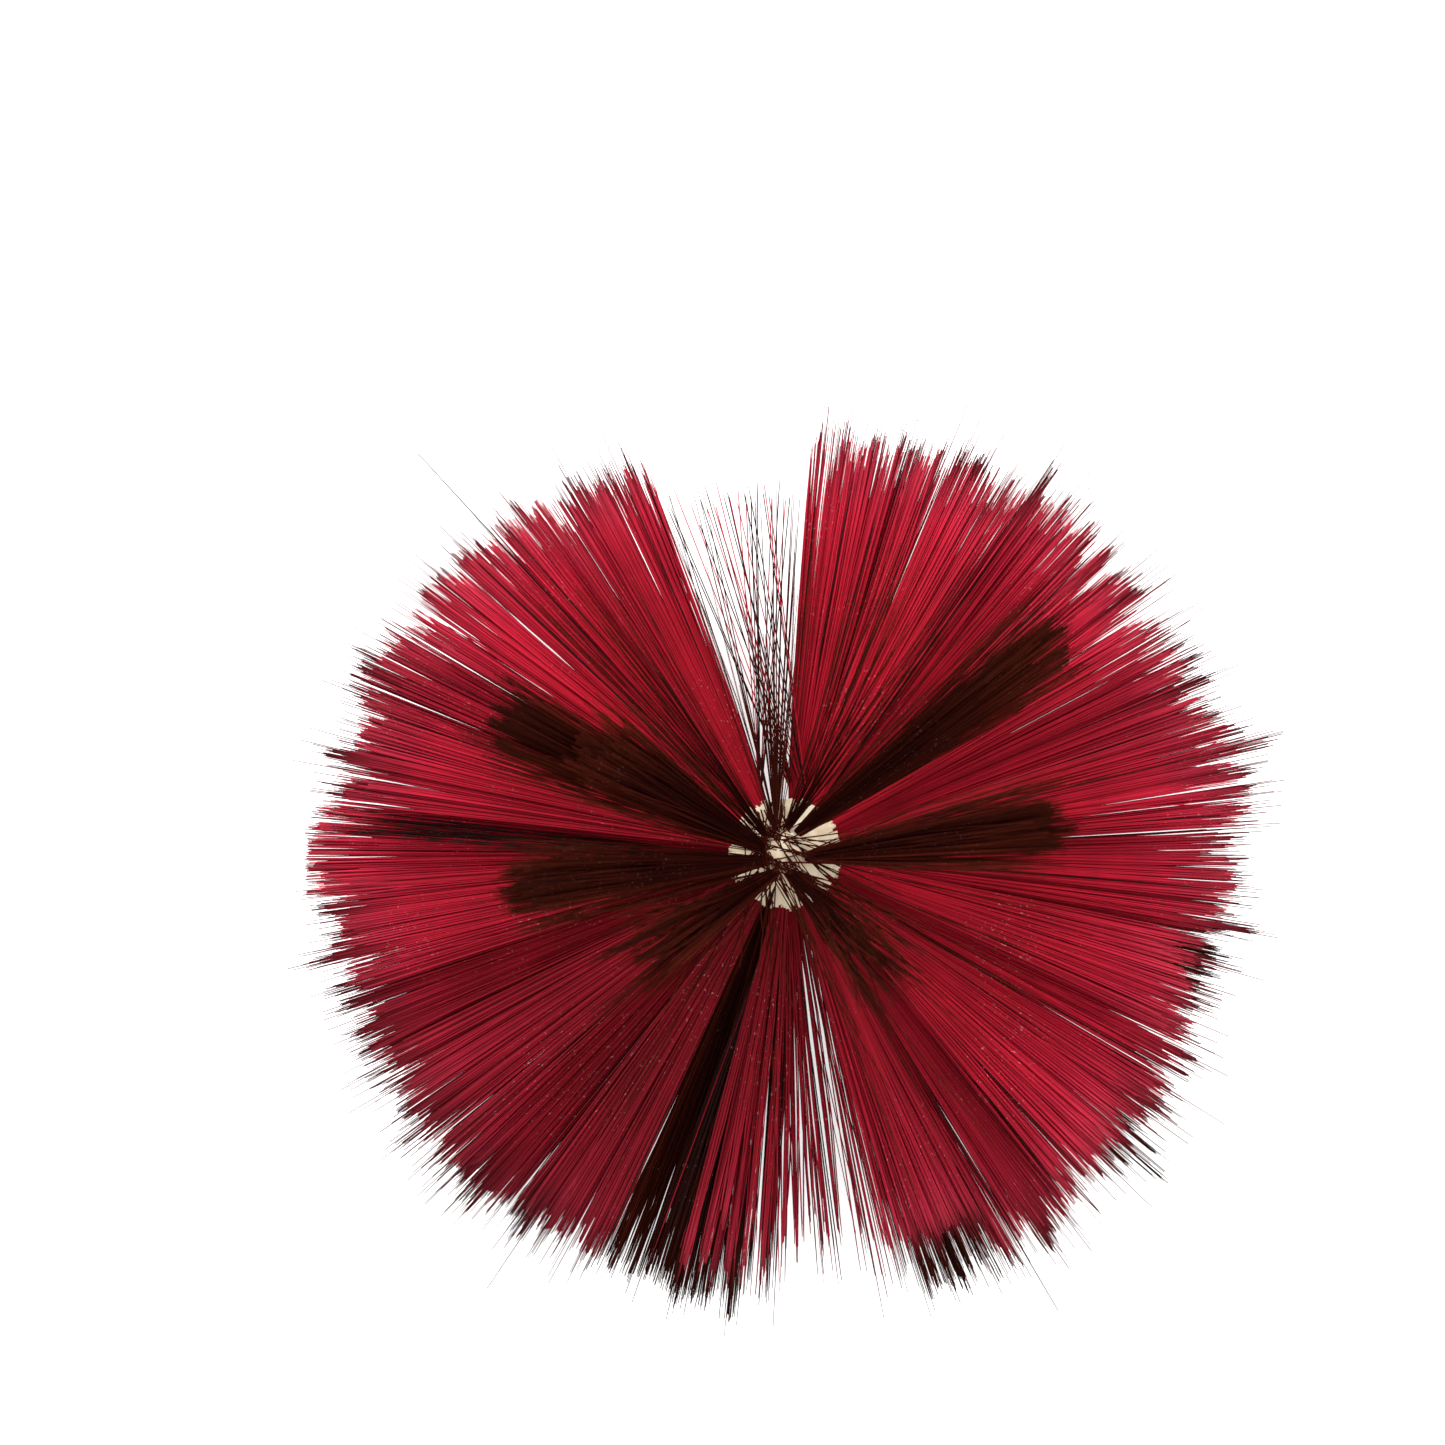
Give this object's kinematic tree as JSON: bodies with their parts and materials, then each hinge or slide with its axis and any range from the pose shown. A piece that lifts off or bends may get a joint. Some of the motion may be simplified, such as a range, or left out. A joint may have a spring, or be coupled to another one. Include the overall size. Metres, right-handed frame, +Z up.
{
  "type": "cheer pom pom",
  "caption": "Round rosette pom pom of stiff crimson and dark brown filament tufts with taped roots, on a bolted dowel handle.",
  "frame": {"origin": "centre of the flat on the underside of the grip dowel, straight below the hub", "axes": "+Z up along the rosette's axis, towards the crown; X along the grip dowel; +Y towards the gap in the rosette"},
  "size_m": [0.2996, 0.2976, 0.1799],
  "materials": {
    "crimson_filament": "satin",
    "dark_filament": "satin",
    "masking_tape": "matte",
    "grip_wood": "satin",
    "hub_plastic": "matte",
    "fastener_steel": "satin"
  },
  "bodies": {
    "core": {"grip_dowel": "grip_wood", "neck_spacer": "hub_plastic", "clamp_bolt": "fastener_steel", "lower_flange": "hub_plastic", "core_sleeve": "hub_plastic", "spacer_discs": "hub_plastic", "crown": "masking_tape", "clamp_washer": "fastener_steel", "lock_nut": "fastener_steel", "centre_tape_strips": "masking_tape", "upper_tape_wraps": "masking_tape", "middle_tape_wraps": "masking_tape", "lower_tape_wraps": "masking_tape", "crimson_root_plugs": "crimson_filament", "dark_root_plugs": "dark_filament"},
    "upper_tuft_01": {"upper_tuft_01": "crimson_filament"},
    "upper_tuft_02": {"upper_tuft_02": "crimson_filament"},
    "upper_tuft_03": {"upper_tuft_03": "crimson_filament"},
    "upper_tuft_04": {"upper_tuft_04": "crimson_filament"},
    "upper_tuft_05": {"upper_tuft_05": "crimson_filament"},
    "upper_tuft_06": {"upper_tuft_06": "crimson_filament"},
    "upper_tuft_07": {"upper_tuft_07": "crimson_filament"},
    "upper_tuft_08": {"upper_tuft_08": "crimson_filament"},
    "upper_tuft_09": {"upper_tuft_09": "crimson_filament"},
    "upper_tuft_10": {"upper_tuft_10": "crimson_filament"},
    "upper_tuft_11": {"upper_tuft_11": "crimson_filament"},
    "upper_tuft_12": {"upper_tuft_12": "crimson_filament"},
    "upper_tuft_13": {"upper_tuft_13": "crimson_filament"},
    "middle_tuft_01": {"middle_tuft_01": "crimson_filament"},
    "middle_tuft_02": {"middle_tuft_02": "crimson_filament"},
    "middle_tuft_03": {"middle_tuft_03": "crimson_filament"},
    "middle_tuft_04": {"middle_tuft_04": "crimson_filament"},
    "middle_tuft_05": {"middle_tuft_05": "crimson_filament"},
    "middle_tuft_06": {"middle_tuft_06": "crimson_filament"},
    "middle_tuft_07": {"middle_tuft_07": "crimson_filament"},
    "middle_tuft_08": {"middle_tuft_08": "crimson_filament"},
    "middle_tuft_09": {"middle_tuft_09": "crimson_filament"},
    "middle_tuft_10": {"middle_tuft_10": "crimson_filament"},
    "middle_tuft_11": {"middle_tuft_11": "crimson_filament"},
    "middle_tuft_12": {"middle_tuft_12": "crimson_filament"},
    "lower_tuft_01": {"lower_tuft_01": "dark_filament"},
    "lower_tuft_02": {"lower_tuft_02": "dark_filament"},
    "lower_tuft_03": {"lower_tuft_03": "dark_filament"},
    "lower_tuft_04": {"lower_tuft_04": "dark_filament"},
    "lower_tuft_05": {"lower_tuft_05": "dark_filament"},
    "lower_tuft_06": {"lower_tuft_06": "dark_filament"},
    "lower_tuft_07": {"lower_tuft_07": "dark_filament"},
    "lower_tuft_08": {"lower_tuft_08": "dark_filament"},
    "lower_tuft_09": {"lower_tuft_09": "dark_filament"},
    "lower_tuft_10": {"lower_tuft_10": "dark_filament"},
    "crown_tuft_01": {"crown_tuft_01": "dark_filament"},
    "crown_tuft_02": {"crown_tuft_02": "dark_filament"},
    "crown_tuft_03": {"crown_tuft_03": "dark_filament"},
    "crown_tuft_04": {"crown_tuft_04": "dark_filament"},
    "crown_tuft_05": {"crown_tuft_05": "dark_filament"},
    "crown_tuft_06": {"crown_tuft_06": "dark_filament"},
    "crown_tuft_07": {"crown_tuft_07": "dark_filament"},
    "crown_tuft_08": {"crown_tuft_08": "dark_filament"},
    "crown_tuft_09": {"crown_tuft_09": "dark_filament"}
  },
  "joints": [
    {"name": "upper_tuft_01_flex", "type": "hinge", "parent": "core", "child": "upper_tuft_01", "pos_m": [0.0073, -0.01808, 0.0676], "axis": [-0.9272, -0.3746, 0], "range_deg": [-12, 30], "stiffness_Nm_per_rad": 0.2},
    {"name": "upper_tuft_02_flex", "type": "hinge", "parent": "core", "child": "upper_tuft_02", "pos_m": [0.01458, -0.01295, 0.0676], "axis": [-0.6639, -0.7478, 0], "range_deg": [-12, 30], "stiffness_Nm_per_rad": 0.2},
    {"name": "upper_tuft_03_flex", "type": "hinge", "parent": "core", "child": "upper_tuft_03", "pos_m": [0.01882, -0.00511, 0.0676], "axis": [-0.2622, -0.965, 0], "range_deg": [-12, 30], "stiffness_Nm_per_rad": 0.2},
    {"name": "upper_tuft_04_flex", "type": "hinge", "parent": "core", "child": "upper_tuft_04", "pos_m": [0.01913, 0.00379, 0.0676], "axis": [0.1942, -0.981, 0], "range_deg": [-12, 30], "stiffness_Nm_per_rad": 0.2},
    {"name": "upper_tuft_05_flex", "type": "hinge", "parent": "core", "child": "upper_tuft_05", "pos_m": [0.01545, 0.0119, 0.0676], "axis": [0.6101, -0.7923, 0], "range_deg": [-12, 30], "stiffness_Nm_per_rad": 0.2},
    {"name": "upper_tuft_06_flex", "type": "hinge", "parent": "core", "child": "upper_tuft_06", "pos_m": [0.00855, 0.01753, 0.0676], "axis": [0.8988, -0.4384, 0], "range_deg": [-12, 30], "stiffness_Nm_per_rad": 0.2},
    {"name": "upper_tuft_07_flex", "type": "hinge", "parent": "core", "child": "upper_tuft_07", "pos_m": [-0.00915, 0.01722, 0.0676], "axis": [0.8829, 0.4695, 0], "range_deg": [-12, 30], "stiffness_Nm_per_rad": 0.2},
    {"name": "upper_tuft_08_flex", "type": "hinge", "parent": "core", "child": "upper_tuft_08", "pos_m": [-0.01537, 0.01201, 0.0676], "axis": [0.6157, 0.788, 0], "range_deg": [-12, 30], "stiffness_Nm_per_rad": 0.2},
    {"name": "upper_tuft_09_flex", "type": "hinge", "parent": "core", "child": "upper_tuft_09", "pos_m": [-0.01892, 0.00472, 0.0676], "axis": [0.2419, 0.9703, 0], "range_deg": [-12, 30], "stiffness_Nm_per_rad": 0.2},
    {"name": "upper_tuft_10_flex", "type": "hinge", "parent": "core", "child": "upper_tuft_10", "pos_m": [-0.0192, -0.00339, 0.0676], "axis": [-0.1736, 0.9848, 0], "range_deg": [-12, 30], "stiffness_Nm_per_rad": 0.2},
    {"name": "upper_tuft_11_flex", "type": "hinge", "parent": "core", "child": "upper_tuft_11", "pos_m": [-0.01617, -0.0109, 0.0676], "axis": [-0.5592, 0.829, 0], "range_deg": [-12, 30], "stiffness_Nm_per_rad": 0.2},
    {"name": "upper_tuft_12_flex", "type": "hinge", "parent": "core", "child": "upper_tuft_12", "pos_m": [-0.01033, -0.01654, 0.0676], "axis": [-0.848, 0.5299, 0], "range_deg": [-12, 30], "stiffness_Nm_per_rad": 0.2},
    {"name": "upper_tuft_13_flex", "type": "hinge", "parent": "core", "child": "upper_tuft_13", "pos_m": [-0.0017, -0.01943, 0.0676], "axis": [-0.9962, 0.0872, 0], "range_deg": [-12, 30], "stiffness_Nm_per_rad": 0.2},
    {"name": "middle_tuft_01_flex", "type": "hinge", "parent": "core", "child": "middle_tuft_01", "pos_m": [0.00238, -0.01935, 0.0614], "axis": [-0.9925, -0.1219, 0], "range_deg": [-6, 30], "stiffness_Nm_per_rad": 0.2},
    {"name": "middle_tuft_02_flex", "type": "hinge", "parent": "core", "child": "middle_tuft_02", "pos_m": [0.01124, -0.01593, 0.0614], "axis": [-0.8171, -0.5764, 0], "range_deg": [-6, 30], "stiffness_Nm_per_rad": 0.2},
    {"name": "middle_tuft_03_flex", "type": "hinge", "parent": "core", "child": "middle_tuft_03", "pos_m": [0.01715, -0.00927, 0.0614], "axis": [-0.4756, -0.8796, 0], "range_deg": [-6, 30], "stiffness_Nm_per_rad": 0.2},
    {"name": "middle_tuft_04_flex", "type": "hinge", "parent": "core", "child": "middle_tuft_04", "pos_m": [0.01949, -0.00068, 0.0614], "axis": [-0.0349, -0.9994, 0], "range_deg": [-6, 30], "stiffness_Nm_per_rad": 0.2},
    {"name": "middle_tuft_05_flex", "type": "hinge", "parent": "core", "child": "middle_tuft_05", "pos_m": [0.01776, 0.00806, 0.0614], "axis": [0.4131, -0.9107, 0], "range_deg": [-6, 30], "stiffness_Nm_per_rad": 0.2},
    {"name": "middle_tuft_06_flex", "type": "hinge", "parent": "core", "child": "middle_tuft_06", "pos_m": [0.01232, 0.01511, 0.0614], "axis": [0.7749, -0.632, 0], "range_deg": [-6, 30], "stiffness_Nm_per_rad": 0.2},
    {"name": "middle_tuft_07_flex", "type": "hinge", "parent": "core", "child": "middle_tuft_07", "pos_m": [0.00432, 0.01902, 0.0614], "axis": [0.9751, -0.2215, 0], "range_deg": [-6, 30], "stiffness_Nm_per_rad": 0.2},
    {"name": "middle_tuft_08_flex", "type": "hinge", "parent": "core", "child": "middle_tuft_08", "pos_m": [-0.01253, 0.01494, 0.0614], "axis": [0.766, 0.6428, 0], "range_deg": [-6, 30], "stiffness_Nm_per_rad": 0.2},
    {"name": "middle_tuft_09_flex", "type": "hinge", "parent": "core", "child": "middle_tuft_09", "pos_m": [-0.01753, 0.00855, 0.0614], "axis": [0.4384, 0.8988, 0], "range_deg": [-6, 30], "stiffness_Nm_per_rad": 0.2},
    {"name": "middle_tuft_10_flex", "type": "hinge", "parent": "core", "child": "middle_tuft_10", "pos_m": [-0.01949, 0.00068, 0.0614], "axis": [0.0349, 0.9994, 0], "range_deg": [-6, 30], "stiffness_Nm_per_rad": 0.2},
    {"name": "middle_tuft_11_flex", "type": "hinge", "parent": "core", "child": "middle_tuft_11", "pos_m": [-0.01808, -0.0073, 0.0614], "axis": [-0.3746, 0.9272, 0], "range_deg": [-6, 30], "stiffness_Nm_per_rad": 0.2},
    {"name": "middle_tuft_12_flex", "type": "hinge", "parent": "core", "child": "middle_tuft_12", "pos_m": [-0.01355, -0.01403, 0.0614], "axis": [-0.7193, 0.6947, 0], "range_deg": [-6, 30], "stiffness_Nm_per_rad": 0.2},
    {"name": "lower_tuft_01_flex", "type": "hinge", "parent": "core", "child": "lower_tuft_01", "pos_m": [-0.00635, -0.01844, 0.0552], "axis": [-0.9455, 0.3256, 0], "range_deg": [-3, 6], "stiffness_Nm_per_rad": 0.2},
    {"name": "lower_tuft_02_flex", "type": "hinge", "parent": "core", "child": "lower_tuft_02", "pos_m": [0.00793, -0.01781, 0.0552], "axis": [-0.9135, -0.4067, 0], "range_deg": [-3, 6], "stiffness_Nm_per_rad": 0.2},
    {"name": "lower_tuft_03_flex", "type": "hinge", "parent": "core", "child": "lower_tuft_03", "pos_m": [0.01557, -0.01174, 0.0552], "axis": [-0.6018, -0.7986, 0], "range_deg": [-3, 6], "stiffness_Nm_per_rad": 0.2},
    {"name": "lower_tuft_04_flex", "type": "hinge", "parent": "core", "child": "lower_tuft_04", "pos_m": [0.01914, -0.00372, 0.0552], "axis": [-0.1908, -0.9816, 0], "range_deg": [-3, 6], "stiffness_Nm_per_rad": 0.2},
    {"name": "lower_tuft_05_flex", "type": "hinge", "parent": "core", "child": "lower_tuft_05", "pos_m": [0.01832, 0.00667, 0.0552], "axis": [0.342, -0.9397, 0], "range_deg": [-3, 6], "stiffness_Nm_per_rad": 0.2},
    {"name": "lower_tuft_06_flex", "type": "hinge", "parent": "core", "child": "lower_tuft_06", "pos_m": [0.01201, 0.01537, 0.0552], "axis": [0.788, -0.6157, 0], "range_deg": [-3, 6], "stiffness_Nm_per_rad": 0.2},
    {"name": "lower_tuft_07_flex", "type": "hinge", "parent": "core", "child": "lower_tuft_07", "pos_m": [-0.01253, 0.01494, 0.0552], "axis": [0.766, 0.6428, 0], "range_deg": [-3, 6], "stiffness_Nm_per_rad": 0.2},
    {"name": "lower_tuft_08_flex", "type": "hinge", "parent": "core", "child": "lower_tuft_08", "pos_m": [-0.01865, 0.0057, 0.0552], "axis": [0.2924, 0.9563, 0], "range_deg": [-3, 6], "stiffness_Nm_per_rad": 0.2},
    {"name": "lower_tuft_09_flex", "type": "hinge", "parent": "core", "child": "lower_tuft_09", "pos_m": [-0.01865, -0.0057, 0.0552], "axis": [-0.2924, 0.9563, 0], "range_deg": [-3, 6], "stiffness_Nm_per_rad": 0.2},
    {"name": "lower_tuft_10_flex", "type": "hinge", "parent": "core", "child": "lower_tuft_10", "pos_m": [-0.01279, -0.01472, 0.0552], "axis": [-0.7547, 0.6561, 0], "range_deg": [-3, 6], "stiffness_Nm_per_rad": 0.2},
    {"name": "crown_tuft_01_flex", "type": "hinge", "parent": "core", "child": "crown_tuft_01", "pos_m": [0.0055, 0.00671, 0.07615], "axis": [0.5299, -0.848, 0], "range_deg": [-20, 14], "stiffness_Nm_per_rad": 0.2},
    {"name": "crown_tuft_02_flex", "type": "hinge", "parent": "core", "child": "crown_tuft_02", "pos_m": [0.0013, 0.00808, 0.07653], "axis": [0.829, -0.5592, 0], "range_deg": [-20, 14], "stiffness_Nm_per_rad": 0.2},
    {"name": "crown_tuft_03_flex", "type": "hinge", "parent": "core", "child": "crown_tuft_03", "pos_m": [-0.00295, 0.008, 0.07634], "axis": [0.9925, 0.1219, 0], "range_deg": [-20, 14], "stiffness_Nm_per_rad": 0.2},
    {"name": "crown_tuft_04_flex", "type": "hinge", "parent": "core", "child": "crown_tuft_04", "pos_m": [-0.00651, 0.00561, 0.07632], "axis": [0.7547, 0.6561, 0], "range_deg": [-20, 14], "stiffness_Nm_per_rad": 0.2},
    {"name": "crown_tuft_05_flex", "type": "hinge", "parent": "core", "child": "crown_tuft_05", "pos_m": [-0.00828, 0.00173, 0.07642], "axis": [0.3584, 0.9336, 0], "range_deg": [-20, 14], "stiffness_Nm_per_rad": 0.2},
    {"name": "crown_tuft_06_flex", "type": "hinge", "parent": "core", "child": "crown_tuft_06", "pos_m": [-0.00764, -0.00355, 0.07644], "axis": [-0.2419, 0.9703, 0], "range_deg": [-20, 14], "stiffness_Nm_per_rad": 0.2},
    {"name": "crown_tuft_07_flex", "type": "hinge", "parent": "core", "child": "crown_tuft_07", "pos_m": [-0.00358, -0.00726, 0.07661], "axis": [-0.6691, 0.7431, 0], "range_deg": [-20, 14], "stiffness_Nm_per_rad": 0.2},
    {"name": "crown_tuft_08_flex", "type": "hinge", "parent": "core", "child": "crown_tuft_08", "pos_m": [0.00207, -0.00776, 0.07665], "axis": [-0.809, -0.5878, 0], "range_deg": [-20, 14], "stiffness_Nm_per_rad": 0.2},
    {"name": "crown_tuft_09_flex", "type": "hinge", "parent": "core", "child": "crown_tuft_09", "pos_m": [0.00824, -0.00173, 0.07644], "axis": [-0.0087, -1, 0], "range_deg": [-20, 14], "stiffness_Nm_per_rad": 0.2}
  ]
}
